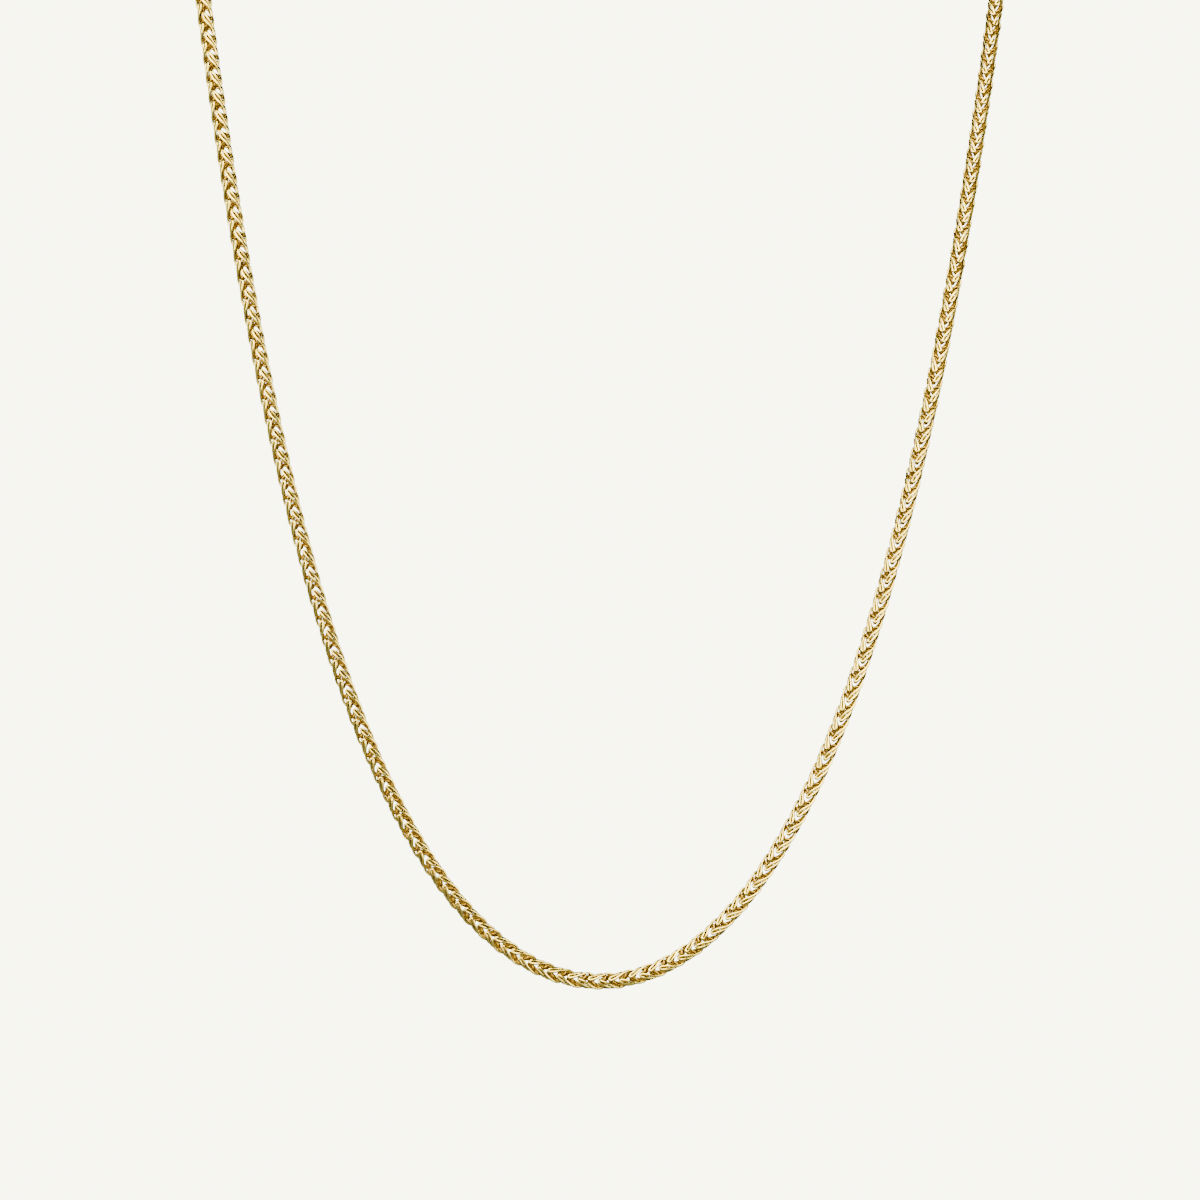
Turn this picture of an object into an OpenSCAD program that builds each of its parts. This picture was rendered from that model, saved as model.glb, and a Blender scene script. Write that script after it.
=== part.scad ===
// Gold neck chain, worn length, hanging in its own curve.
// Millimetres. +X to the viewer's right, -Y towards the viewer, +Z up.
// The origin is where the clasp lies against the nape of the neck.
// The round tube is the outer form of the woven links.

/* [Necklace] */
// Length of the whole necklace along its middle, clasp included
necklace_l = 457; // [445:1:475]
// Width of the woven chain
chain_w = 2.05; // [1.6:0.05:2.4]

/* [Hanging front] */
// Height of the front, from its lowest point to the collar line
fall = 122.6; // [110:0.2:130]
// Size of the catenary that the front hangs in
sag = 23.1; // [20:0.1:26]
// How much narrower than that catenary the front hangs
squeeze = 0.851; // [0.8:0.005:0.95]
// How far the front leans back by the time it reaches the collar line
bow = 17.5; // [5:0.5:25]

/* [Way round the neck] */
// Height of the nape above the collar line
nape_rise = 34; // [26:1:38]
// How long the chain keeps rising past the collar line before it turns back
collar_pull = 30; // [26:1:32]
// How wide the chain's turn behind the nape is
nape_pull = 34; // [30:1:38]

/* [Clasp and end fittings] */
// Outside of the round clasp
clasp_d = 6; // [5.6:0.1:7]
// Thickness of the clasp's tube
clasp_wire = 1.1; // [0.9:0.1:1.2]
// Outside of the clasp's eye and of the loops on the end caps
eye_d = 2.3; // [2.2:0.1:2.6]
// Wire of the eye and of the loops
eye_wire = 0.6; // [0.5:0.05:0.6]
// Outside of the ring that joins the left cap to the clasp's eye
joining_d = 3.2; // [3:0.1:3.6]
// Outside of the ring that the clasp catches
catch_d = 4; // [3.8:0.1:4.6]
// Wire of the two rings
ring_wire = 0.6; // [0.5:0.05:0.6]
// Length of an end cap's straight sleeve
cap_l = 2.4; // [2:0.1:4]
// Wall of an end cap
cap_wall = 0.22; // [0.2:0.02:0.4]

/* [Hidden] */
gold = "#E6C77E";
eps = 0.01;
// Free space between pieces that hang in each other or lie in each other
slack = 0.1;
// How deep soldered parts run into each other
solder = 0.25;
front_steps = 90;
back_steps = 60;
tube_rings = 80;
tube_sides = 8;
round_fn = 64;

// Middle radius of each ring's wire
clasp_r = (clasp_d - clasp_wire) / 2;
eye_r = (eye_d - eye_wire) / 2;
joining_r = (joining_d - ring_wire) / 2;
catch_r = (catch_d - ring_wire) / 2;

// The hanging front: a catenary in u, leaning back as it rises
function cosh(u) = (exp(u) + exp(-u)) / 2;
function sinh(u) = (exp(u) - exp(-u)) / 2;
function acosh(v) = ln(v + sqrt(v * v - 1));
collar_u = acosh(1 + fall / sag);
function front_height(u) = sag * (cosh(u) - 1);
function front_point(u) =
    [squeeze * sag * u, bow * pow(front_height(u) / fall, 2), front_height(u)];
function unit(v) = v / norm(v);

// The way round the neck: one smooth curve from the collar line to the nape
collar = front_point(collar_u);
collar_way = unit([squeeze * sag, 2 * bow / fall * sag * sinh(collar_u), sag * sinh(collar_u)]);
function blend(a, b, c, d, t) =
    pow(1 - t, 3) * a + 3 * pow(1 - t, 2) * t * b + 3 * (1 - t) * pow(t, 2) * c + pow(t, 3) * d;
function nape(depth) = [0, depth, fall + nape_rise];
function back_point(t, depth) = blend(
    collar,
    collar + collar_pull * collar_way,
    nape(depth) + [nape_pull, 0, 0],
    nape(depth),
    t
);

// The right half, from the nape to the lowest point, and the distance run at each point
function half_way(depth) = concat(
    [for (i = [back_steps:-1:1]) back_point(i / back_steps, depth)],
    [for (i = [front_steps:-1:0]) front_point(collar_u * i / front_steps)]
);
function runs_along(p) = [
    for (i = 0, run = 0; i < len(p); i = i + 1, run = i < len(p) ? run + norm(p[i] - p[i - 1]) : run)
        run
];
function half_length(depth) = let (r = runs_along(half_way(depth))) r[len(r) - 1];

// The depth of the neck's hollow that gives the necklace its length, by halving
function fitted_depth(low, high, tries) =
    let (middle = (low + high) / 2)
    tries == 0 ? middle
    : half_length(middle) < necklace_l / 2 ? fitted_depth(middle, high, tries - 1)
    : fitted_depth(low, middle, tries - 1);
neck_depth = fitted_depth(40, 140, 16);

half = half_way(neck_depth);
half_runs = runs_along(half);
half_l = half_runs[len(half) - 1];
x_table = [for (i = [0:len(half) - 1]) [half_runs[i], half[i].x]];
y_table = [for (i = [0:len(half) - 1]) [half_runs[i], half[i].y - neck_depth + clasp_wire / 2]];
z_table = [for (i = [0:len(half) - 1]) [half_runs[i], half[i].z - fall - nape_rise]];

// The middle of the necklace at a distance from the nape. Past half way, and below zero,
// it is on the left.
function right_point(run) = [lookup(run, x_table), lookup(run, y_table), lookup(run, z_table)];
function left_point(run) = let (p = right_point(run)) [-p.x, p.y, p.z];
function point_at(run) =
    run < 0 ? left_point(-run)
    : run <= half_l ? right_point(run)
    : left_point(2 * half_l - run);
function way_at(run) = unit(point_at(run + 1) - point_at(run - 1));
loop_middle = [0, point_at(half_l / 2).y, -fall / 2];

// Where a hanging ring's middle is, when the ring before it has its own at `from`
function next_ring(from, from_r, from_wire, ring_r, wire) =
    from + from_r + ring_r - (from_wire + wire) / 2 - slack;
eye_at = clasp_d / 2 + eye_d / 2 - solder;
joining_at = next_ring(eye_at, eye_r, eye_wire, joining_r, ring_wire);
catch_at = next_ring(0, clasp_r, clasp_wire, catch_r, ring_wire);
left_loop_at = next_ring(joining_at, joining_r, ring_wire, eye_r, eye_wire);
right_loop_at = next_ring(catch_at, catch_r, ring_wire, eye_r, eye_wire);

// An end cap is a dome, a sleeve round the chain's end, and a loop on the dome
cap_r = chain_w / 2 + slack + cap_wall;
loop_to_dome = eye_d / 2 + cap_r - solder;
left_dome_at = left_loop_at + loop_to_dome;
right_dome_at = right_loop_at + loop_to_dome;
cap_floor = 0.2;

// Puts what is drawn along X on the necklace's middle at a distance from the nape
module on_way(run) {
    way = way_at(run);
    translate(point_at(run)) rotate([0, -asin(way.z), atan2(way.y, way.x)]) children();
}

// A closed ring of round wire, lying in the XY plane
module wire_ring(middle_r, wire) {
    rotate_extrude($fn = round_fn) translate([middle_r, 0]) circle(d = wire, $fn = round_fn);
}

module standing_ring(middle_r, wire) {
    rotate([90, 0, 0]) wire_ring(middle_r, wire);
}

// A round tube swept along the chain's middle
module swept_tube(from, to, width) {
    stops = [for (i = [0:tube_rings - 1]) from + (to - from) * i / (tube_rings - 1)];
    points = [
        for (run = stops)
            let (
                middle = point_at(run),
                way = way_at(run),
                out = middle - loop_middle,
                side = unit(out - (out * way) * way),
                other = cross(way, side)
            )
            for (k = [0:tube_sides - 1])
                let (turn = 360 * k / tube_sides)
                middle + width / 2 * (cos(turn) * side + sin(turn) * other)
    ];
    walls = [
        for (i = [0:tube_rings - 2], k = [0:tube_sides - 1])
            let (a = i * tube_sides + k, b = i * tube_sides + (k + 1) % tube_sides)
            [a, a + tube_sides, b + tube_sides, b]
    ];
    first_end = [for (k = [0:tube_sides - 1]) k];
    last_end = [for (k = [tube_sides - 1:-1:0]) (tube_rings - 1) * tube_sides + k];
    polyhedron(points, concat(walls, [first_end, last_end]));
}

// The cap's mouth opens towards +X, and its loop hangs on the dome at -X
module end_cap() {
    difference() {
        union() {
            sphere(r = cap_r, $fn = round_fn);
            rotate([0, 90, 0]) cylinder(r = cap_r, h = cap_l, $fn = round_fn);
        }
        translate([cap_floor, 0, 0]) rotate([0, 90, 0])
            cylinder(r = cap_r - cap_wall, h = cap_l, $fn = round_fn);
    }
    translate([-loop_to_dome, 0, 0]) standing_ring(eye_r, eye_wire);
}

module chain() {
    color(gold) swept_tube(
        right_dome_at + cap_floor + slack,
        2 * half_l - left_dome_at - cap_floor - slack,
        chain_w
    );
}

module left_end_cap() {
    color(gold) on_way(-left_dome_at) rotate([0, 0, 180]) end_cap();
}

module right_end_cap() {
    color(gold) on_way(right_dome_at) end_cap();
}

module joining_ring() {
    color(gold) on_way(-joining_at) wire_ring(joining_r, ring_wire);
}

module catch_ring() {
    color(gold) on_way(catch_at) wire_ring(catch_r, ring_wire);
}

// A plain closed ring with its eye and a thumb knob, in one piece
module clasp() {
    knob_turn = 55;
    knob_l = 1;
    knob_wire = 0.6;
    knob_head = 1;
    color(gold) on_way(0) {
        standing_ring(clasp_r, clasp_wire);
        translate([-eye_at, 0, 0]) standing_ring(eye_r, eye_wire);
        rotate([0, -knob_turn, 0]) translate([clasp_r, 0, 0]) {
            rotate([0, 90, 0]) cylinder(d = knob_wire, h = knob_l, $fn = round_fn);
            translate([knob_l, 0, 0]) sphere(d = knob_head, $fn = round_fn);
        }
    }
}

chain();
left_end_cap();
right_end_cap();
joining_ring();
catch_ring();
clasp();
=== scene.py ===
"""Yellow gold wheat chain necklace: woven links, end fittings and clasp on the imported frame.

Blender 4.5. The scene is in metres and in the frame's own axes: +X to the viewer's right,
-Y towards the viewer, +Z up, with the origin where the clasp lies against the nape.
Sizes of the necklace are written in millimetres and turned to metres by MM.
"""

import logging
import math
from dataclasses import dataclass
from enum import Enum

import bpy
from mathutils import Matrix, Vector

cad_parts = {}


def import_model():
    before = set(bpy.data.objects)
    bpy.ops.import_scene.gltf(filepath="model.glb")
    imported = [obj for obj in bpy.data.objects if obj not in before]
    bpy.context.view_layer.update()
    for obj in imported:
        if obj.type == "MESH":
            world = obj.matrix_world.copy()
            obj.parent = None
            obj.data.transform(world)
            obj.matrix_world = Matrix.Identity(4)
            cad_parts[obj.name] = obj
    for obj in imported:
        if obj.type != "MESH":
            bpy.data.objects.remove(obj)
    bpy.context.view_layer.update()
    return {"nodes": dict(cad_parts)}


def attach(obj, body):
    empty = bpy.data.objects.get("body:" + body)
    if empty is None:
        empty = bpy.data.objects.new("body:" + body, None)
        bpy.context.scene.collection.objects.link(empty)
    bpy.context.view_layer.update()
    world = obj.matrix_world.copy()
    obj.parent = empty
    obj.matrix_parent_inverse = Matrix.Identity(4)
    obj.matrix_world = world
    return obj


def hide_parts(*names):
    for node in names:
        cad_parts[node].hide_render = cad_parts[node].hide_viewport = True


LOG = logging.getLogger("necklace")
MM = 0.001

# The middle of what the camera shows, in metres
VIEW_MIDDLE = Vector((0.0, -0.058, -0.1093))

# The sRGB curve is straight up to its knee and a power above it
FULL_BYTE = 255
SRGB_KNEE = 0.04045
SRGB_SLOPE = 12.92
SRGB_OFFSET = 0.055
SRGB_POWER = 2.4

# Sockets that share their name with others of their node go by number
MIX_NUMBER_A = 2
MIX_NUMBER_B = 3
MIX_NUMBER_OUT = 0
MIX_COLOUR_A = 6
MIX_COLOUR_B = 7
MIX_COLOUR_OUT = 2
RANDOM_NUMBER_OUT = 1

Tree = bpy.types.NodeTree
Socket = bpy.types.NodeSocket
Sockets = bpy.types.bpy_prop_collection


def linear_colour(hex_code: str) -> tuple[float, float, float, float]:
    """Turns an sRGB hex colour to Blender's linear one.

    Args:
        hex_code: the colour as #RRGGBB.

    Returns:
        Red, green and blue in linear light, and an alpha of 1.
    """
    linear = []
    for at in (1, 3, 5):
        part = int(hex_code[at : at + 2], 16) / FULL_BYTE
        if part <= SRGB_KNEE:
            linear.append(part / SRGB_SLOPE)
        else:
            linear.append(((part + SRGB_OFFSET) / (1 + SRGB_OFFSET)) ** SRGB_POWER)
    return (*linear, 1.0)


def add_node(
    tree: Tree,
    kind: str,
    inputs: dict[str | int, object] | None = None,
    **settings: object,
) -> bpy.types.Node:
    """Adds a node to a tree, with its settings, values and links.

    Args:
        tree: the shader or geometry tree.
        kind: the node's type name.
        inputs: for each input's name or number, a value or the output socket that feeds it.
        settings: the node's own properties.

    Returns:
        The new node.
    """
    node = tree.nodes.new(kind)
    for name, value in settings.items():
        setattr(node, name, value)
    for name, value in (inputs or {}).items():
        socket = node.inputs[name]
        if isinstance(value, Socket):
            tree.links.new(value, socket)
        else:
            socket.default_value = value
    return node


class WeaveRow(Enum):
    """The weave's two rows of links, by the edge of the chain that their front half bends to.

    The value is that edge's sign. The inner edge faces the middle of the hanging loop.
    """

    INNER = 1.0
    OUTER = -1.0


@dataclass(frozen=True)
class WirePoint:
    """A point on the middle of a link's wire, in millimetres and degrees.

    Attributes:
        along: the distance along the chain from the link's rounded end.
        turn: the angle round the chain's middle, from the front towards the row's own edge.
        out: the distance from that middle.
    """

    along: float
    turn: float
    out: float

    def place(self) -> tuple[float, float, float]:
        """Returns the point as along, towards the edge and towards the front."""
        angle = math.radians(self.turn)
        return (self.along, self.out * math.sin(angle), self.out * math.cos(angle))


@dataclass(frozen=True)
class NecklaceLine:
    """The middle line of the whole necklace, by the rules of the CAD source. Millimetres.

    The front is a catenary that leans back as it rises. One smooth curve goes on from the
    collar line round the neck to the nape. The neck's hollow is as deep as gives the
    necklace its length.

    Attributes:
        necklace_l: the whole length along the middle, clasp included.
        fall: the front's height, from its lowest point to the collar line.
        sag: the size of the catenary.
        squeeze: how much narrower than that catenary the front hangs.
        bow: how far the front leans back by the time it reaches the collar line.
        nape_rise: the nape's height above the collar line.
        collar_pull: how long the chain keeps rising past the collar line.
        nape_pull: how wide the turn behind the nape is.
        clasp_wire: the thickness of the clasp's tube.
        right_start: the way from the nape to the chain's end in the right cap.
        left_start: the way from the nape to the chain's end in the left cap.
        depth_low: the least depth that the hollow could have.
        depth_high: the most.
        depth_halvings: how often the range between them is halved.
        front_steps: the pieces of one half's front.
        back_steps: the pieces of one half's way round the neck.
    """

    necklace_l: float = 457.0
    fall: float = 122.6
    sag: float = 23.1
    squeeze: float = 0.851
    bow: float = 17.5
    nape_rise: float = 34.0
    collar_pull: float = 30.0
    nape_pull: float = 34.0
    clasp_wire: float = 1.1
    right_start: float = 7.6
    left_start: float = 9.35
    depth_low: float = 40.0
    depth_high: float = 140.0
    depth_halvings: int = 24
    front_steps: int = 400
    back_steps: int = 300

    def front_height(self, bend: float) -> float:
        """Returns how high the front is at a catenary's parameter."""
        return self.sag * (math.cosh(bend) - 1)

    def front_point(self, bend: float) -> Vector:
        """Returns a point of the hanging front, from its lowest point up its right side."""
        height = self.front_height(bend)
        return Vector((self.squeeze * self.sag * bend, self.bow * (height / self.fall) ** 2, height))

    def collar_bend(self) -> float:
        """Returns the catenary's parameter at the collar line."""
        return math.acosh(1 + self.fall / self.sag)

    def collar_way(self) -> Vector:
        """Returns the chain's direction at the collar line, going up."""
        rise = self.sag * math.sinh(self.collar_bend())
        return Vector((self.squeeze * self.sag, 2 * self.bow / self.fall * rise, rise)).normalized()

    def nape(self, depth: float) -> Vector:
        """Returns the middle of the clasp for a depth of the neck's hollow."""
        return Vector((0, depth, self.fall + self.nape_rise))

    def back_point(self, share: float, depth: float) -> Vector:
        """Places a point on the way round the neck.

        Args:
            share: 0 at the collar line and 1 at the nape.
            depth: the depth of the neck's hollow.

        Returns:
            The point on that cubic curve.
        """
        start = self.front_point(self.collar_bend())
        stops = (
            start,
            start + self.collar_pull * self.collar_way(),
            self.nape(depth) + Vector((self.nape_pull, 0, 0)),
            self.nape(depth),
        )
        rest = 1 - share
        weights = (rest**3, 3 * rest**2 * share, 3 * rest * share**2, share**3)
        return sum((weight * stop for weight, stop in zip(weights, stops)), Vector())

    def right_half(self, depth: float) -> list[Vector]:
        """Goes along the right half of the necklace.

        Args:
            depth: the depth of the neck's hollow.

        Returns:
            Its points, from the nape to the lowest point.
        """
        back = [self.back_point(1 - i / self.back_steps, depth) for i in range(self.back_steps)]
        last = self.front_steps
        front = [self.front_point(self.collar_bend() * (last - i) / last) for i in range(last + 1)]
        return back + front

    def fitted_depth(self) -> float:
        """Fits the neck's hollow to the length of the necklace, by halving.

        Returns:
            The depth of the hollow.
        """
        low = self.depth_low
        high = self.depth_high
        for _ in range(self.depth_halvings):
            middle = (low + high) / 2
            if self.length(self.right_half(middle)) < self.necklace_l / 2:
                low = middle
            else:
                high = middle
        return (low + high) / 2

    @staticmethod
    def length(points: list[Vector]) -> float:
        """Returns the length of the line through the points."""
        return sum((b - a).length for a, b in zip(points, points[1:]))

    def chain_points(self) -> list[Vector]:
        """Goes along the chain itself, without the fittings at the nape.

        Returns:
            Its points, from its left end round the front to its right end.
        """
        depth = self.fitted_depth()
        shift = Vector((0, -depth + self.clasp_wire / 2, -self.fall - self.nape_rise))
        right = [point + shift for point in self.right_half(depth)]
        left = [Vector((-point.x, point.y, point.z)) for point in right]
        return self.trimmed(left + right[-2::-1])

    def trimmed(self, points: list[Vector]) -> list[Vector]:
        """Cuts the closed line's two ends back to where the chain starts in its end caps.

        Args:
            points: the whole line, from the nape down the left side and up the right side.

        Returns:
            The points between the two ends, with the ends themselves.
        """
        runs = [0.0]
        for a, b in zip(points, points[1:]):
            runs.append(runs[-1] + (b - a).length)
        first = self.left_start
        last = runs[-1] - self.right_start
        inside = [point for point, run in zip(points, runs) if first < run < last]
        return [self.between(points, runs, first), *inside, self.between(points, runs, last)]

    @staticmethod
    def between(points: list[Vector], runs: list[float], run: float) -> Vector:
        """Finds the point of a line at a distance along it.

        Args:
            points: the line's points.
            runs: the distance along the line to each of them.
            run: the distance that is looked for.

        Returns:
            The point at that distance.
        """
        at = next(i for i in range(1, len(runs)) if runs[i] >= run)
        share = (run - runs[at - 1]) / (runs[at] - runs[at - 1])
        return points[at - 1].lerp(points[at], share)

    def loop_middle(self) -> Vector:
        """Finds the middle of the hanging loop, which the chain's inner edge faces.

        Returns:
            The point, level with the middle of the front.
        """
        points = self.chain_points()
        quarter = points[len(points) // 4]
        return Vector((0, quarter.y, -self.fall / 2))


@dataclass(frozen=True)
class GoldFinish:
    """Yellow gold of 14 carats, drawn to wire, turned or bent from tube, and polished.

    Polished gold gives the eye hard pale glints beside deep amber reflections. Polish
    doesn't reach between the wires of the weave, so the gold is duller there, and it is
    painted darker there too, for the shade that falls inside the weave.
    The weave's depth is 0 on the chain's middle and 1 on its outside.

    Attributes:
        name: the material's name.
        bright: one of the two colours that the gold wanders between.
        deep: the other one.
        core: the painted shade that multiplies the gold up to core_depth, in the chain's middle, where the
            weave's openings let some light in.
        slit: the darkest painted shade, at slit_depth, for the narrow gaps between the arms.
        outside: what shades it from open_depth outwards.
        roughness: the roughness of the polished gold.
        smoothest: the least that the smear makes of that roughness, as a share.
        roughest: the most.
        recess_roughness: the roughness up to dull_depth. It is polished from polished_depth.
        ripple_mm: the length of the ripples that drawing and buffing leave.
        ripple_depth_mm: their height. Real ones are too fine to show, so they are drawn
            several times as deep.
        ripple_detail: how many finer ripples lie in each.
        smear_mm: the length over which colour and polish wander, about a pitch of the weave.
        smear_detail: how many finer smears lie in each.
        smear_grain: how strong those are.
        smear_low: the noise that counts as no smear.
        smear_high: the noise that counts as a full one.
        darkest_link: the brightness of the darkest link, as a share.
        lightest_link: the brightness of the lightest one.
        uses_weave: whether the piece has the weave's attributes.
    """

    name: str
    bright: str = "#ECDA74"
    deep: str = "#ECD268"
    core: str = "#C8B494"
    slit: str = "#26242E"
    outside: str = "#FFFFFF"
    core_depth: float = 0.66
    slit_depth: float = 0.80
    open_depth: float = 0.95
    roughness: float = 0.13
    smoothest: float = 0.75
    roughest: float = 1.35
    recess_roughness: float = 0.34
    dull_depth: float = 0.70
    polished_depth: float = 0.98
    ripple_mm: float = 0.5
    ripple_depth_mm: float = 0.006
    ripple_detail: float = 2.0
    smear_mm: float = 2.6
    smear_detail: float = 3.0
    smear_grain: float = 0.55
    smear_low: float = 0.3
    smear_high: float = 0.7
    darkest_link: float = 0.84
    lightest_link: float = 1.10
    uses_weave: bool = False

    def material(self) -> bpy.types.Material:
        """Builds the finish.

        Returns:
            The material, with nodes on Object coordinates and the weave's attributes.
        """
        made = bpy.data.materials.new(self.name)
        made.use_nodes = True
        tree = made.node_tree
        tree.nodes.clear()
        place = add_node(tree, "ShaderNodeTexCoord").outputs["Object"]
        smear = add_node(
            tree,
            "ShaderNodeTexNoise",
            {
                "Vector": place,
                "Scale": 1 / (self.smear_mm * MM),
                "Detail": self.smear_detail,
                "Roughness": self.smear_grain,
            },
        ).outputs["Fac"]
        colour = add_node(
            tree,
            "ShaderNodeMix",
            {
                "Factor": smear,
                MIX_COLOUR_A: linear_colour(self.bright),
                MIX_COLOUR_B: linear_colour(self.deep),
            },
            data_type="RGBA",
        ).outputs[MIX_COLOUR_OUT]
        rough = add_node(
            tree,
            "ShaderNodeMapRange",
            {
                "Value": smear,
                "From Min": self.smear_low,
                "From Max": self.smear_high,
                "To Min": self.roughness * self.smoothest,
                "To Max": self.roughness * self.roughest,
            },
        ).outputs["Result"]
        if self.uses_weave:
            colour, rough = self.paint_weave_shade_and_dullness(tree, colour, rough)
        ripple = add_node(
            tree,
            "ShaderNodeTexNoise",
            {"Vector": place, "Scale": 1 / (self.ripple_mm * MM), "Detail": self.ripple_detail},
        ).outputs["Fac"]
        bump = add_node(
            tree,
            "ShaderNodeBump",
            {"Height": ripple, "Distance": self.ripple_depth_mm * MM, "Strength": 1.0},
        ).outputs["Normal"]
        surface = add_node(
            tree,
            "ShaderNodeBsdfPrincipled",
            {"Base Color": colour, "Metallic": 1.0, "Roughness": rough, "Normal": bump},
        ).outputs["BSDF"]
        add_node(tree, "ShaderNodeOutputMaterial", {"Surface": surface})
        return made

    def paint_weave_shade_and_dullness(self, tree: Tree, colour: Socket, rough: Socket) -> tuple[Socket, Socket]:
        """Paints shade onto the gold between the wires, dulls it there, and sets each link off a little.

        Args:
            tree: the material's tree.
            colour: the polished colour.
            rough: the polished roughness.

        Returns:
            The colour with the painted shade in it, and the roughness with the dullness in it.
        """
        depth = add_node(tree, "ShaderNodeAttribute", attribute_name="weave_depth").outputs["Fac"]
        tint = add_node(tree, "ShaderNodeAttribute", attribute_name="link_tint").outputs["Fac"]
        # Painted shade: the ramp darkens the gold a little in the chain's middle, most in the slits between
        # the arms, and not at all on the outside
        shade = add_node(tree, "ShaderNodeValToRGB", {"Fac": depth})
        stops = shade.color_ramp.elements
        stops[0].position = self.core_depth
        stops[0].color = linear_colour(self.core)
        stops[1].position = self.open_depth
        stops[1].color = linear_colour(self.outside)
        stops.new(self.slit_depth).color = linear_colour(self.slit)
        shaded = add_node(
            tree,
            "ShaderNodeMix",
            {"Factor": 1.0, MIX_COLOUR_A: colour, MIX_COLOUR_B: shade.outputs["Color"]},
            data_type="RGBA",
            blend_type="MULTIPLY",
        ).outputs[MIX_COLOUR_OUT]
        value = add_node(
            tree,
            "ShaderNodeMapRange",
            {"Value": tint, "To Min": self.darkest_link, "To Max": self.lightest_link},
        ).outputs["Result"]
        tinted = add_node(
            tree,
            "ShaderNodeHueSaturation",
            {"Color": shaded, "Value": value},
        ).outputs["Color"]
        dullness = add_node(
            tree,
            "ShaderNodeMapRange",
            {
                "Value": depth,
                "From Min": self.dull_depth,
                "From Max": self.polished_depth,
                "To Min": 1.0,
                "To Max": 0.0,
            },
        ).outputs["Result"]
        worn = add_node(
            tree,
            "ShaderNodeMix",
            {"Factor": dullness, MIX_NUMBER_A: rough, MIX_NUMBER_B: self.recess_roughness},
        ).outputs[MIX_NUMBER_OUT]
        return tinted, worn


# Gold wire, drawn, woven and then tumbled bright: each wire has a thin hard glint beside
# deep amber, and the gaps that the polish doesn't reach are duller, with painted shade
# that darkens them
CHAIN_GOLD = GoldFinish("polished_gold_wire", uses_weave=True)

# Gold turned on a lathe and buffed: a slightly soft shine, with broad ripples
CAP_GOLD = GoldFinish("turned_gold", ripple_mm=1.2, roughness=0.15)

# Drawn gold wire, bent to a ring and soldered: a hard shine along the ring
RING_GOLD = GoldFinish("drawn_gold_ring_wire", ripple_mm=0.8)

# Gold tube, bent round and buffed last: the smoothest surface, with the clearest reflections
CLASP_GOLD = GoldFinish("polished_gold_tube", ripple_mm=1.6, roughness=0.1)

# The front half of a link's wire. It starts on the chain's middle, comes out to the row's
# own edge through the leading fold, and crosses the front as the leading arm. It turns
# back in the rounded end, and goes in again by the trailing arm and the trailing fold.
# The arms and the folds are listed from the rounded end inwards.
LEADING_ARM = (
    WirePoint(along=0.44, turn=5, out=0.87),
    WirePoint(along=0.84, turn=15, out=0.88),
    WirePoint(along=1.30, turn=34, out=0.91),
    WirePoint(along=1.80, turn=56, out=0.93),
    WirePoint(along=2.24, turn=71, out=0.95),
    WirePoint(along=2.64, turn=79, out=0.94),
)
LEADING_FOLD = (
    WirePoint(along=2.99, turn=81, out=0.84),
    WirePoint(along=3.19, turn=74, out=0.67),
    WirePoint(along=3.12, turn=66, out=0.49),
    WirePoint(along=2.84, turn=58, out=0.31),
    WirePoint(along=2.57, turn=90, out=0.0),
)
TRAILING_ARM = (
    WirePoint(along=0.52, turn=38, out=0.86),
    WirePoint(along=1.02, turn=57, out=0.87),
    WirePoint(along=1.52, turn=73, out=0.88),
    WirePoint(along=1.90, turn=83, out=0.81),
)
TRAILING_FOLD = (
    WirePoint(along=2.10, turn=84, out=0.66),
    WirePoint(along=2.14, turn=75, out=0.49),
    WirePoint(along=2.03, turn=64, out=0.34),
    WirePoint(along=1.87, turn=56, out=0.19),
    WirePoint(along=1.74, turn=90, out=0.0),
)
ROUNDED_END = (
    WirePoint(along=0.20, turn=-1, out=0.86),
    WirePoint(along=0.05, turn=3, out=0.85),
    WirePoint(along=0.00, turn=13, out=0.84),
    WirePoint(along=0.05, turn=23, out=0.85),
    WirePoint(along=0.20, turn=28, out=0.85),
)


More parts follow.
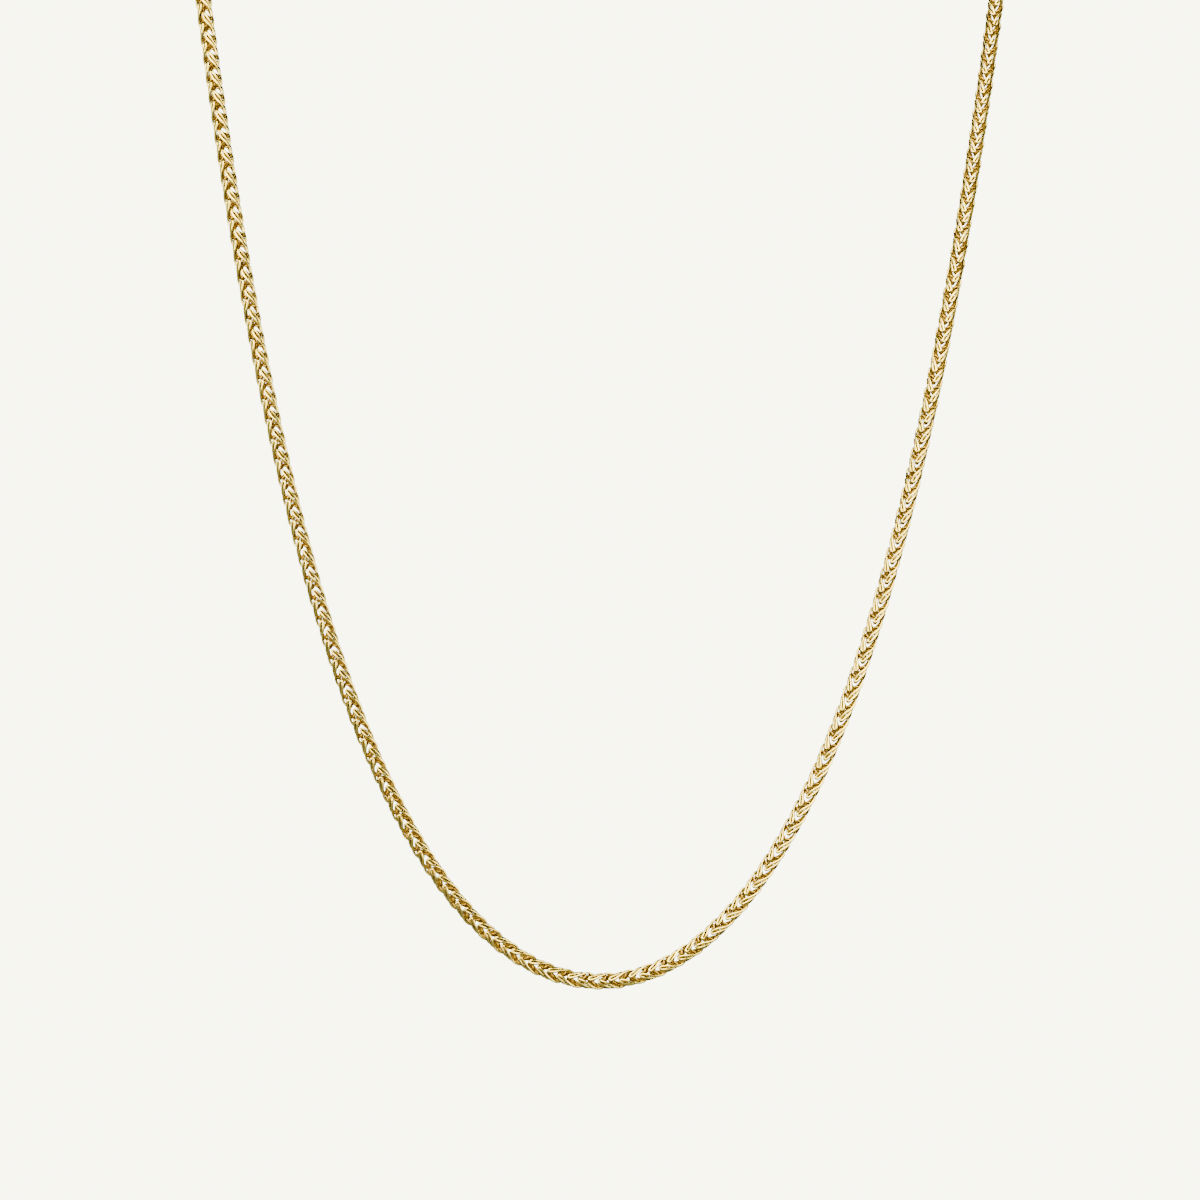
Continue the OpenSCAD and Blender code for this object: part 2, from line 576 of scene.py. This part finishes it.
@dataclass
class WovenChain:
    """The woven links, which stand for the frame's chain. Millimetres and degrees.

    Each link is one closed round wire, folded through the chain's middle. Its front half
    lies on the front and bends to the row's own edge. Its back half lies on the back and
    bends to the opposite edge. Links of the inner and of the outer row alternate at half a
    pitch.

    A link has 48 rings of 5 sides, which is 240 faces. With fewer rings the rounded ends
    show corners in a close view.

    Attributes:
        line: the middle line that the links are laid on.
        finish: the links' gold.
        chain_w: the width of the woven chain.
        wire_d: the thickness of its wire.
        wire_sides: the sides of the wire's section.
        pitches: the number of links in each row.
        row_shift: how far the outer row starts after the inner one, in pitches.
        link_l: the length of a link along the chain.
        back_share: how far out the back lies, as a share of the front.
        back_turn: how far round the back lies, as a share of the front.
        roll_low: the least turn that the roll's curve can hold.
        roll_high: the most.
        roll_table: how far the chain is turned about its middle, at distances from its left
            end. Between them it turns smoothly. The last one is the chain's right end.
        sway: the most that a slow random sway adds either way.
        sway_mm: the length of a sway.
        sway_low: the noise that counts as the full sway one way.
        sway_high: the noise that counts as the full sway the other way.
        seed: the seed of the links' shades in the inner row.
        seed_gap: what the outer row adds to it.
    """

    line: NecklaceLine
    finish: GoldFinish
    chain_w: float = 2.05
    wire_d: float = 0.356
    wire_sides: int = 5
    pitches: int = 169
    row_shift: float = 0.5
    link_l: float = 3.3
    back_share: float = 0.88
    back_turn: float = 0.92
    roll_low: float = -60.0
    roll_high: float = 60.0
    roll_table: tuple[tuple[float, float], ...] = (
        (0.0, 26.0),
        (92.0, 26.0),
        (113.0, 21.0),
        (169.0, 14.0),
        (190.0, 8.0),
        (215.0, 0.0),
        (247.0, -9.0),
        (284.0, -13.0),
        (336.0, -4.0),
        (440.0, -4.0),
    )
    sway: float = 6.0
    sway_mm: float = 4.5
    sway_low: float = 0.25
    sway_high: float = 0.75
    seed: int = 7
    seed_gap: int = 1000

    def link_points(self) -> list[WirePoint]:
        """Goes once round a link's closed wire.

        Returns:
            The front half, from the chain's middle and back to it, and then the back half.
        """
        front = [
            *reversed(LEADING_FOLD),
            *reversed(LEADING_ARM),
            *ROUNDED_END,
            *TRAILING_ARM,
            *TRAILING_FOLD,
        ]
        back = [self.half_turned(point) for point in reversed(front[1:-1])]
        return front + back

    def half_turned(self, point: WirePoint) -> WirePoint:
        """Returns the same point after half a turn about the chain's middle, on the flatter back."""
        return WirePoint(point.along, point.turn * self.back_turn + 180, point.out * self.back_share)

    @staticmethod
    def guide(
        name: str,
        points: list[Vector | tuple[float, float, float]],
        cyclic: bool,
    ) -> bpy.types.Object:
        """Makes a curve through points, for the tree to read.

        Args:
            name: the curve's name.
            points: the points, in millimetres.
            cyclic: whether the curve is closed.

        Returns:
            The curve's object.
        """
        curve = bpy.data.curves.new(name, "CURVE")
        curve.dimensions = "3D"
        spline = curve.splines.new("POLY")
        spline.points.add(len(points) - 1)
        for target, point in zip(spline.points, points):
            target.co = (*(value * MM for value in point), 1.0)
        spline.use_cyclic_u = cyclic
        made = bpy.data.objects.new(name, curve)
        bpy.context.scene.collection.objects.link(made)
        return made

    def geometry_tree(self, material: bpy.types.Material) -> Tree:
        """Builds the geometry tree that sweeps, repeats and lays the links.

        Args:
            material: the links' finish.

        Returns:
            The tree, with named inputs for its sizes and guides.
        """
        tree = bpy.data.node_groups.new("woven_links", "GeometryNodeTree")
        tree.interface.new_socket("Links", in_out="OUTPUT", socket_type="NodeSocketGeometry")
        for name, kind in (
            ("Middle Line", "NodeSocketObject"),
            ("Link Guide", "NodeSocketObject"),
            ("Wire Radius", "NodeSocketFloat"),
            ("Wire Sides", "NodeSocketInt"),
            ("Pitch", "NodeSocketFloat"),
            ("Link Count", "NodeSocketInt"),
            ("Chain Radius", "NodeSocketFloat"),
            ("Loop Middle", "NodeSocketVector"),
            ("Seed", "NodeSocketInt"),
        ):
            tree.interface.new_socket(name, in_out="INPUT", socket_type=kind)
        given = add_node(tree, "NodeGroupInput").outputs
        laid = self.laid_on_line(tree, given, self.rows(tree, given))
        smooth = add_node(tree, "GeometryNodeSetShadeSmooth", {"Geometry": laid})
        dressed = add_node(
            tree,
            "GeometryNodeSetMaterial",
            {"Geometry": smooth.outputs["Geometry"], "Material": material},
        )
        add_node(tree, "NodeGroupOutput", {"Links": dressed.outputs["Geometry"]})
        return tree

    def rows(self, tree: Tree, given: Sockets) -> Socket:
        """Sweeps one link and repeats it in both rows along a straight line.

        Args:
            tree: the geometry tree.
            given: the tree's inputs.

        Returns:
            The realized links along +X, each with its link_tint.
        """
        guide = add_node(tree, "GeometryNodeObjectInfo", {"Object": given["Link Guide"]})
        section = add_node(
            tree,
            "GeometryNodeCurvePrimitiveCircle",
            {"Resolution": given["Wire Sides"], "Radius": given["Wire Radius"]},
        )
        link = add_node(
            tree,
            "GeometryNodeCurveToMesh",
            {"Curve": guide.outputs["Geometry"], "Profile Curve": section.outputs["Curve"]},
        ).outputs["Mesh"]
        joined = add_node(tree, "GeometryNodeJoinGeometry")
        for side in WeaveRow:
            tree.links.new(self.row(tree, given, link, side), joined.inputs["Geometry"])
        return joined.outputs["Geometry"]

    def row(self, tree: Tree, given: Sockets, link: Socket, side: WeaveRow) -> Socket:
        """Repeats a link at each pitch of a row.

        Args:
            tree: the geometry tree.
            given: the tree's inputs.
            link: the mesh of an inner link.
            side: which row it is.

        Returns:
            The row's realized links.
        """
        outer = side is WeaveRow.OUTER
        shape = self.mirrored(tree, link) if outer else link
        start = add_node(
            tree,
            "ShaderNodeMath",
            {0: given["Pitch"], 1: self.row_shift if outer else 0.0},
            operation="MULTIPLY",
        ).outputs["Value"]
        first = add_node(tree, "ShaderNodeCombineXYZ", {"X": start}).outputs["Vector"]
        step = add_node(tree, "ShaderNodeCombineXYZ", {"X": given["Pitch"]}).outputs["Vector"]
        stops = add_node(
            tree,
            "GeometryNodeMeshLine",
            {"Count": given["Link Count"], "Start Location": first, "Offset": step},
        )
        placed = add_node(
            tree,
            "GeometryNodeInstanceOnPoints",
            {"Points": stops.outputs["Mesh"], "Instance": shape},
        )
        seed = add_node(
            tree,
            "ShaderNodeMath",
            {0: given["Seed"], 1: self.seed_gap if outer else 0},
            operation="ADD",
        )
        tint = add_node(tree, "FunctionNodeRandomValue", {"Seed": seed.outputs["Value"]}, data_type="FLOAT")
        marked = add_node(
            tree,
            "GeometryNodeStoreNamedAttribute",
            {
                "Geometry": placed.outputs["Instances"],
                "Name": "link_tint",
                "Value": tint.outputs[RANDOM_NUMBER_OUT],
            },
            data_type="FLOAT",
            domain="INSTANCE",
        )
        return add_node(
            tree,
            "GeometryNodeRealizeInstances",
            {"Geometry": marked.outputs["Geometry"]},
        ).outputs["Geometry"]

    @staticmethod
    def mirrored(tree: Tree, link: Socket) -> Socket:
        """Mirrors a link for the outer row.

        Args:
            tree: the geometry tree.
            link: the mesh of an inner link.

        Returns:
            The mesh of an outer link. The mirror turns it inside out, so its faces are
            flipped back.
        """
        turned = add_node(
            tree,
            "GeometryNodeTransform",
            {"Geometry": link, "Scale": (1.0, WeaveRow.OUTER.value, 1.0)},
        ).outputs["Geometry"]
        return add_node(tree, "GeometryNodeFlipFaces", {"Mesh": turned}).outputs["Mesh"]

    def laid_on_line(self, tree: Tree, given: Sockets, links: Socket) -> Socket:
        """Rolls the straight chain and lays it on the necklace's middle line.

        Args:
            tree: the geometry tree.
            given: the tree's inputs.
            links: the straight chain along +X.

        Returns:
            The links on the line, with their weave_depth.
        """
        position = add_node(tree, "GeometryNodeInputPosition").outputs["Position"]
        parts = add_node(tree, "ShaderNodeSeparateXYZ", {"Vector": position}).outputs
        along = parts["X"]
        across = add_node(tree, "ShaderNodeCombineXYZ", {"Y": parts["Y"], "Z": parts["Z"]}).outputs["Vector"]
        radial = add_node(tree, "ShaderNodeVectorMath", {0: across}, operation="LENGTH").outputs["Value"]
        depth = add_node(
            tree,
            "ShaderNodeMath",
            {0: radial, 1: given["Chain Radius"]},
            operation="DIVIDE",
        ).outputs["Value"]
        marked = add_node(
            tree,
            "GeometryNodeStoreNamedAttribute",
            {"Geometry": links, "Name": "weave_depth", "Value": depth},
            data_type="FLOAT",
            domain="POINT",
        ).outputs["Geometry"]
        line = add_node(tree, "GeometryNodeObjectInfo", {"Object": given["Middle Line"]}).outputs["Geometry"]
        sample = add_node(
            tree,
            "GeometryNodeSampleCurve",
            {"Curves": line, "Length": along},
            mode="LENGTH",
            use_all_curves=True,
        ).outputs
        turned = add_node(
            tree,
            "ShaderNodeVectorRotate",
            {"Vector": across, "Angle": self.roll(tree, line, along)},
            rotation_type="X_AXIS",
        ).outputs["Vector"]
        moved = add_node(tree, "ShaderNodeSeparateXYZ", {"Vector": turned}).outputs
        inward, facing = self.cross_axes(tree, given, sample)
        in_part = add_node(
            tree,
            "ShaderNodeVectorMath",
            {0: inward, "Scale": moved["Y"]},
            operation="SCALE",
        ).outputs["Vector"]
        face_part = add_node(
            tree,
            "ShaderNodeVectorMath",
            {0: facing, "Scale": moved["Z"]},
            operation="SCALE",
        ).outputs["Vector"]
        off = add_node(
            tree,
            "ShaderNodeVectorMath",
            {0: in_part, 1: face_part},
            operation="ADD",
        ).outputs["Vector"]
        end = add_node(tree, "ShaderNodeVectorMath", {0: sample["Position"], 1: off}, operation="ADD")
        return add_node(
            tree,
            "GeometryNodeSetPosition",
            {"Geometry": marked, "Position": end.outputs["Vector"]},
        ).outputs["Geometry"]

    @staticmethod
    def cross_axes(tree: Tree, given: Sockets, sample: Sockets) -> tuple[Socket, Socket]:
        """Works out the two directions across the chain.

        Args:
            tree: the geometry tree.
            given: the tree's inputs.
            sample: the middle line's position and tangent.

        Returns:
            The direction towards the loop's middle, and the one towards the viewer.
        """
        way = sample["Tangent"]
        to_middle = add_node(
            tree,
            "ShaderNodeVectorMath",
            {0: given["Loop Middle"], 1: sample["Position"]},
            operation="SUBTRACT",
        ).outputs["Vector"]
        square = add_node(
            tree,
            "ShaderNodeVectorMath",
            {0: way, 1: to_middle},
            operation="CROSS_PRODUCT",
        ).outputs["Vector"]
        facing = add_node(tree, "ShaderNodeVectorMath", {0: square}, operation="NORMALIZE").outputs["Vector"]
        inward = add_node(
            tree,
            "ShaderNodeVectorMath",
            {0: facing, 1: way},
            operation="CROSS_PRODUCT",
        ).outputs["Vector"]
        return inward, facing

    def roll(self, tree: Tree, line: Socket, along: Socket) -> Socket:
        """Turns the chain about its own middle, by the roll table and the random sway.

        Args:
            tree: the geometry tree.
            line: the middle line.
            along: the distance from the chain's left end.

        Returns:
            The roll in radians.
        """
        return add_node(
            tree,
            "ShaderNodeMath",
            {0: self.table_roll(tree, line, along), 1: self.random_sway(tree, along)},
            operation="ADD",
        ).outputs["Value"]

    def table_roll(self, tree: Tree, line: Socket, along: Socket) -> Socket:
        """Reads the roll table at each point.

        Args:
            tree: the geometry tree.
            line: the middle line.
            along: the distance from the chain's left end.

        Returns:
            The table's roll in radians.
        """
        whole = add_node(tree, "GeometryNodeCurveLength", {"Curve": line}).outputs["Length"]
        share = add_node(tree, "ShaderNodeMath", {0: along, 1: whole}, operation="DIVIDE").outputs["Value"]
        curve = add_node(tree, "ShaderNodeFloatCurve", {"Value": share})
        stops = curve.mapping.curves[0].points
        longest = self.roll_table[-1][0]
        spread = self.roll_high - self.roll_low
        rows = [(run / longest, (turn - self.roll_low) / spread) for run, turn in self.roll_table]
        for at, level in rows[1:-1]:
            stops.new(at, level)
        stops[0].location = rows[0]
        stops[len(rows) - 1].location = rows[-1]
        curve.mapping.update()
        return add_node(
            tree,
            "ShaderNodeMapRange",
            {
                "Value": curve.outputs["Value"],
                "To Min": math.radians(self.roll_low),
                "To Max": math.radians(self.roll_high),
            },
            clamp=False,
        ).outputs["Result"]

    def random_sway(self, tree: Tree, along: Socket) -> Socket:
        """Lets the chain sway slowly about its middle.

        Args:
            tree: the geometry tree.
            along: the distance from the chain's left end.

        Returns:
            The sway in radians.
        """
        sways = add_node(
            tree,
            "ShaderNodeMath",
            {0: along, 1: 1 / (self.sway_mm * MM)},
            operation="MULTIPLY",
        ).outputs["Value"]
        noise = add_node(tree, "ShaderNodeTexNoise", {"W": sways, "Scale": 1.0}, noise_dimensions="1D")
        return add_node(
            tree,
            "ShaderNodeMapRange",
            {
                "Value": noise.outputs["Fac"],
                "From Min": self.sway_low,
                "From Max": self.sway_high,
                "To Min": -math.radians(self.sway),
                "To Max": math.radians(self.sway),
            },
        ).outputs["Result"]

    @staticmethod
    def plain_mesh(tree: Tree, given: dict[str, object]) -> bpy.types.Mesh:
        """Runs the tree on an empty object and keeps what it makes as a plain mesh.

        Args:
            tree: the geometry tree.
            given: what goes into each of its named inputs.

        Returns:
            The mesh.
        """
        host = bpy.data.objects.new("links_host", bpy.data.meshes.new("links_host"))
        bpy.context.scene.collection.objects.link(host)
        modifier = host.modifiers.new("woven_links", "NODES")
        modifier.node_group = tree
        keys = {item.name: item.identifier for item in tree.interface.items_tree if item.in_out == "INPUT"}
        for name, value in given.items():
            modifier[keys[name]] = value
        host.update_tag()
        evaluated = host.evaluated_get(bpy.context.evaluated_depsgraph_get())
        mesh = bpy.data.meshes.new_from_object(evaluated)
        host.modifiers.remove(modifier)
        bpy.data.objects.remove(host)
        return mesh

    def build(self) -> bpy.types.Object:
        """Makes the links as one plain mesh and puts it on the frame.

        Returns:
            The woven links.
        """
        points = self.line.chain_points()
        # The last link of the outer row ends where the chain does
        pitch = (self.line.length(points) - self.link_l) / (self.pitches - 1 + self.row_shift)
        middle_line = self.guide("middle_line", points, cyclic=False)
        link_guide = self.guide("link_guide", [point.place() for point in self.link_points()], cyclic=True)
        given = {
            "Middle Line": middle_line,
            "Link Guide": link_guide,
            "Wire Radius": self.wire_d / 2 * MM,
            "Wire Sides": self.wire_sides,
            "Pitch": pitch * MM,
            "Link Count": self.pitches,
            "Chain Radius": self.chain_w / 2 * MM,
            "Loop Middle": tuple(self.line.loop_middle() * MM),
            "Seed": self.seed,
        }
        mesh = self.plain_mesh(self.geometry_tree(self.finish.material()), given)
        for helper in (middle_line, link_guide):
            bpy.data.objects.remove(helper)
        links = bpy.data.objects.new("woven_links", mesh)
        bpy.context.scene.collection.objects.link(links)
        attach(links, "root")
        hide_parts("chain")
        LOG.info("woven_links: %d pitches of %.3f mm, %d faces", self.pitches, pitch, len(mesh.polygons))
        return links


@dataclass
class Fittings:
    """The frame's own end caps, rings and clasp, each in its finish."""

    nodes: dict[str, bpy.types.Object]
    cap_finish: GoldFinish = CAP_GOLD
    ring_finish: GoldFinish = RING_GOLD
    clasp_finish: GoldFinish = CLASP_GOLD

    def dress(self) -> None:
        """Gives each fitting its material."""
        finishes = {
            "left_end_cap": self.cap_finish,
            "right_end_cap": self.cap_finish,
            "joining_ring": self.ring_finish,
            "catch_ring": self.ring_finish,
            "clasp": self.clasp_finish,
        }
        made = {}
        for name, finish in finishes.items():
            if finish.name not in made:
                made[finish.name] = finish.material()
            fitting = self.nodes[name]
            fitting.data.materials.clear()
            fitting.data.materials.append(made[finish.name])
            LOG.info("%s: %s", name, finish.name)


@dataclass(frozen=True)
class PaperFinish:
    """Seamless studio paper, lit so evenly that it shows as one flat pale tone.

    It glows brightest behind the necklace, where the camera looks, well in front too, and
    little at both sides, so that each wire has a pale middle and dark edges. Glow is in
    linear light, and distances are in metres along Y.

    Attributes:
        name: the material's name.
        colour: the glow's colour, a little yellow, which the view shows as off-white.
        back_glow: the glow behind the necklace.
        front_glow: the glow in front of it.
        side_glow: the glow at its sides.
        back_from: where the glow starts to rise towards the back.
        back_until: where it has risen.
        front_from: where the glow starts to rise towards the front.
        front_until: where it has risen.
    """

    name: str = "seamless_paper"
    colour: str = "#FFFFDE"
    back_glow: float = 8.2
    front_glow: float = 1.5
    side_glow: float = 0.36
    back_from: float = 0.9
    back_until: float = 2.0
    front_from: float = -0.2
    front_until: float = -1.3

    def glow_between(self, tree: Tree, way: Socket, span: tuple[float, float, float]) -> Socket:
        """Lets the glow rise from the sides' to another along Y.

        Args:
            tree: the material's tree.
            way: the place along Y.
            span: where the rise starts, where it ends, and the glow there.

        Returns:
            The glow.
        """
        start, end, glow = span
        return add_node(
            tree,
            "ShaderNodeMapRange",
            {
                "Value": way,
                "From Min": start,
                "From Max": end,
                "To Min": self.side_glow,
                "To Max": glow,
            },
            interpolation_type="SMOOTHSTEP",
        ).outputs["Result"]

    def material(self) -> bpy.types.Material:
        """Builds the finish.

        Returns:
            The material, which gives off its own even light.
        """
        made = bpy.data.materials.new(self.name)
        made.use_nodes = True
        tree = made.node_tree
        tree.nodes.clear()
        place = add_node(tree, "ShaderNodeTexCoord").outputs["Object"]
        way = add_node(tree, "ShaderNodeSeparateXYZ", {"Vector": place}).outputs["Y"]
        back = self.glow_between(tree, way, (self.back_from, self.back_until, self.back_glow))
        front = self.glow_between(tree, way, (self.front_from, self.front_until, self.front_glow))
        glow = add_node(tree, "ShaderNodeMath", {0: back, 1: front}, operation="MAXIMUM").outputs["Value"]
        light = add_node(
            tree,
            "ShaderNodeEmission",
            {"Color": linear_colour(self.colour), "Strength": glow},
        ).outputs["Emission"]
        add_node(tree, "ShaderNodeOutputMaterial", {"Surface": light})
        return made


@dataclass(frozen=True)
class Softbox:
    """A square light, warm so that the gold's glints are golden too. Metres and watts."""

    name: str
    place: tuple[float, float, float]
    side: float
    power: float
    colour: str = "#FFF0B0"


@dataclass
class Studio:
    """The paper sweep round the necklace, the lights and the camera. Metres.

    Attributes:
        target: the middle of what the camera shows, which the lights face too.
        paper: the sweep's finish.
        floor_z: the height of the paper floor.
        floor_r: the radius of its flat part.
        inner_share: where the ring inside the flat part lies, as a share of that radius.
        fillet_r: the radius of the bend up to the wall.
        fillet_steps: the pieces of that bend.
        wall_top: the height of the wall's top.
        ring_count: the pieces of the sweep all round.
        camera_away: how far the camera is from the target.
        shown_width: the width that the picture shows at the target.
        sensor: the width of the camera's sensor, in millimetres.
        clip_near: how near the camera sees.
        clip_far: how far.
        room_colour: the colour of the room above the paper.
        softboxes: the lights.
    """

    target: Vector
    paper: PaperFinish = PaperFinish()
    floor_z: float = -0.30
    floor_r: float = 2.7
    inner_share: float = 0.5
    fillet_r: float = 0.5
    fillet_steps: int = 8
    wall_top: float = 0.45
    ring_count: int = 96
    camera_away: float = 1.5
    shown_width: float = 0.1493
    sensor: float = 36.0
    clip_near: float = 0.05
    clip_far: float = 20.0
    room_colour: str = "#2E2B27"
    softboxes: tuple[Softbox, ...] = (
        Softbox("top_softbox", place=(0.0, -1.15, 0.80), side=1.2, power=76.0),
        Softbox("left_softbox", place=(-1.20, -1.00, 0.15), side=0.9, power=46.0),
        Softbox("right_softbox", place=(1.20, -1.00, 0.10), side=0.7, power=25.0),
    )

    def profile(self) -> list[tuple[float, float]]:
        """Draws the sweep's section from its flat floor up to the wall's top.

        Returns:
            How far out and how high each ring of the sweep lies.
        """
        rings = [(self.floor_r * self.inner_share, self.floor_z)]
        for i in range(self.fillet_steps + 1):
            angle = math.radians(90 * i / self.fillet_steps)
            away = self.floor_r + self.fillet_r * math.sin(angle)
            rings.append((away, self.floor_z + self.fillet_r * (1 - math.cos(angle))))
        rings.append((self.floor_r + self.fillet_r, self.wall_top))
        return rings

    def sweep(self) -> bpy.types.Object:
        """Makes the paper floor that curves up into a round wall.

        Returns:
            The sweep.
        """
        rings = self.profile()
        count = self.ring_count
        points = [(0.0, 0.0, self.floor_z)]
        for away, height in rings:
            for k in range(count):
                turn = 2 * math.pi * k / count
                points.append((away * math.cos(turn), away * math.sin(turn), height))
        faces = [(0, 1 + (k + 1) % count, 1 + k) for k in range(count)]
        for ring in range(len(rings) - 1):
            base = 1 + ring * count
            for k in range(count):
                here = base + k
                after = base + (k + 1) % count
                faces.append((here, after, after + count, here + count))
        mesh = bpy.data.meshes.new("paper_sweep")
        mesh.from_pydata(points, [], faces)
        mesh.materials.append(self.paper.material())
        made = bpy.data.objects.new("paper_sweep", mesh)
        bpy.context.scene.collection.objects.link(made)
        return made

    def lights(self) -> None:
        """Hangs the softboxes, all turned to the necklace."""
        for box in self.softboxes:
            light = bpy.data.lights.new(box.name, "AREA")
            light.shape = "SQUARE"
            light.size = box.side
            light.energy = box.power
            light.color = linear_colour(box.colour)[:3]
            hung = bpy.data.objects.new(box.name, light)
            hung.location = box.place
            hung.rotation_euler = (self.target - Vector(box.place)).to_track_quat("-Z", "Y").to_euler()
            bpy.context.scene.collection.objects.link(hung)

    def sky(self) -> None:
        """Gives the room above the paper a dim, nearly neutral light."""
        world = bpy.data.worlds.new("dim_room")
        world.use_nodes = True
        tree = world.node_tree
        tree.nodes.clear()
        light = add_node(
            tree,
            "ShaderNodeBackground",
            {"Color": linear_colour(self.room_colour), "Strength": 1.0},
        ).outputs["Background"]
        add_node(tree, "ShaderNodeOutputWorld", {"Surface": light})
        bpy.context.scene.world = world

    def camera(self) -> None:
        """Sets the camera straight in front, with the lens that shows shown_width."""
        lens = bpy.data.cameras.new("front_camera")
        lens.sensor_width = self.sensor
        lens.lens = self.sensor * self.camera_away / self.shown_width
        lens.clip_start = self.clip_near
        lens.clip_end = self.clip_far
        held = bpy.data.objects.new("front_camera", lens)
        held.location = self.target + Vector((0, -self.camera_away, 0))
        held.rotation_euler = (math.radians(90), 0, 0)
        bpy.context.scene.collection.objects.link(held)
        bpy.context.scene.camera = held

    def build(self) -> None:
        """Builds the whole studio."""
        self.sweep()
        self.lights()
        self.sky()
        self.camera()
        LOG.info("studio: %d softboxes", len(self.softboxes))


def main() -> None:
    """Builds the necklace on its frame, the studio and the camera."""
    logging.basicConfig(level=logging.INFO, format="%(name)s: %(message)s")
    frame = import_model()
    WovenChain(NecklaceLine(), CHAIN_GOLD).build()
    Fittings(frame["nodes"]).dress()
    Studio(VIEW_MIDDLE).build()


if __name__ == "__main__":
    main()
